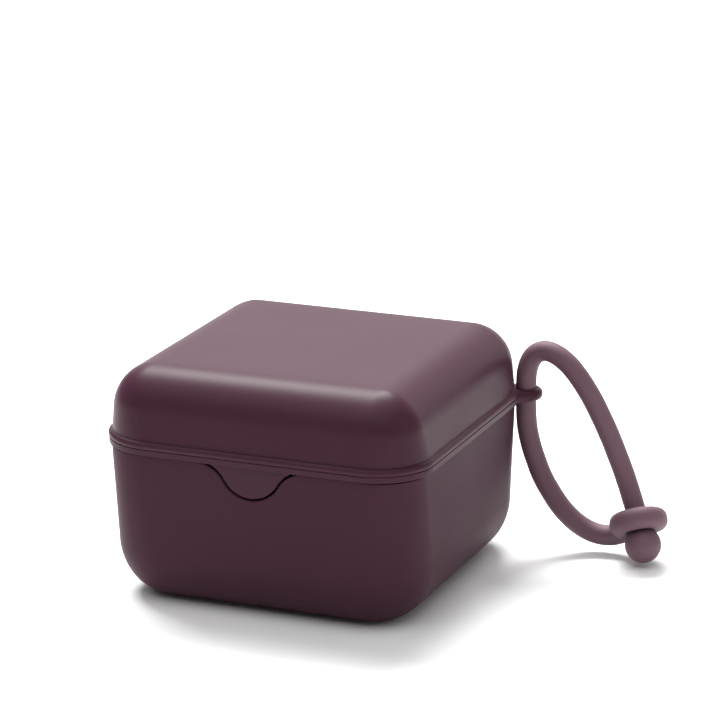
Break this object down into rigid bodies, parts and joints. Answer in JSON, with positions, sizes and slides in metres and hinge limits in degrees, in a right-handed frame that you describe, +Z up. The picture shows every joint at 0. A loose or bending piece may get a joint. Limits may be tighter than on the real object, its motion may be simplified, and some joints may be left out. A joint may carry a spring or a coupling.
{
  "type": "pacifier sterilizer case",
  "caption": "Square case with round edges, hinged domed lid and front tongue, drain tray over a water space inside, and a silicone carrying strap through an eyelet.",
  "frame": {"origin": "middle of the flat foot under the base, on the surface that the case stands on", "axes": "+Z up, -Y towards the front with the tongue, +X towards the side that the strap hangs on"},
  "size_m": [0.1201, 0.0872, 0.0576],
  "materials": {
    "base_plastic": "satin moulded polypropylene, plum",
    "lid_plastic": "satin moulded polypropylene, plum",
    "tray_plastic": "satin moulded polypropylene, plum",
    "pin_plastic": "satin moulded polypropylene, plum",
    "strap_silicone": "matte moulded silicone, plum"
  },
  "bodies": {
    "base": {"base_shell": "base_plastic", "hinge_pin_left": "pin_plastic", "hinge_pin_right": "pin_plastic"},
    "lid": {"lid_shell": "lid_plastic"},
    "tray": {"drain_tray": "tray_plastic", "tray_edge": "tray_plastic", "tray_feet": "tray_plastic"},
    "strap": {"strap_cord": "strap_silicone", "strap_ring": "strap_silicone", "strap_ball": "strap_silicone"}
  },
  "joints": [
    {"name": "lid_hinge", "type": "hinge", "parent": "base", "child": "lid", "pos_m": [0, 0.0436, 0.037], "axis": [-1, 0, 0], "range_deg": [0, 105]},
    {"name": "tray_lift", "type": "slide", "parent": "base", "child": "tray", "axis": [0, 0, 1], "range_m": [0, 0.02]},
    {"name": "strap_swing", "type": "hinge", "parent": "lid", "child": "strap", "pos_m": [0.04155, 0.03451, 0.0397], "axis": [0, 0, 1], "range_deg": [-25, 45]}
  ]
}
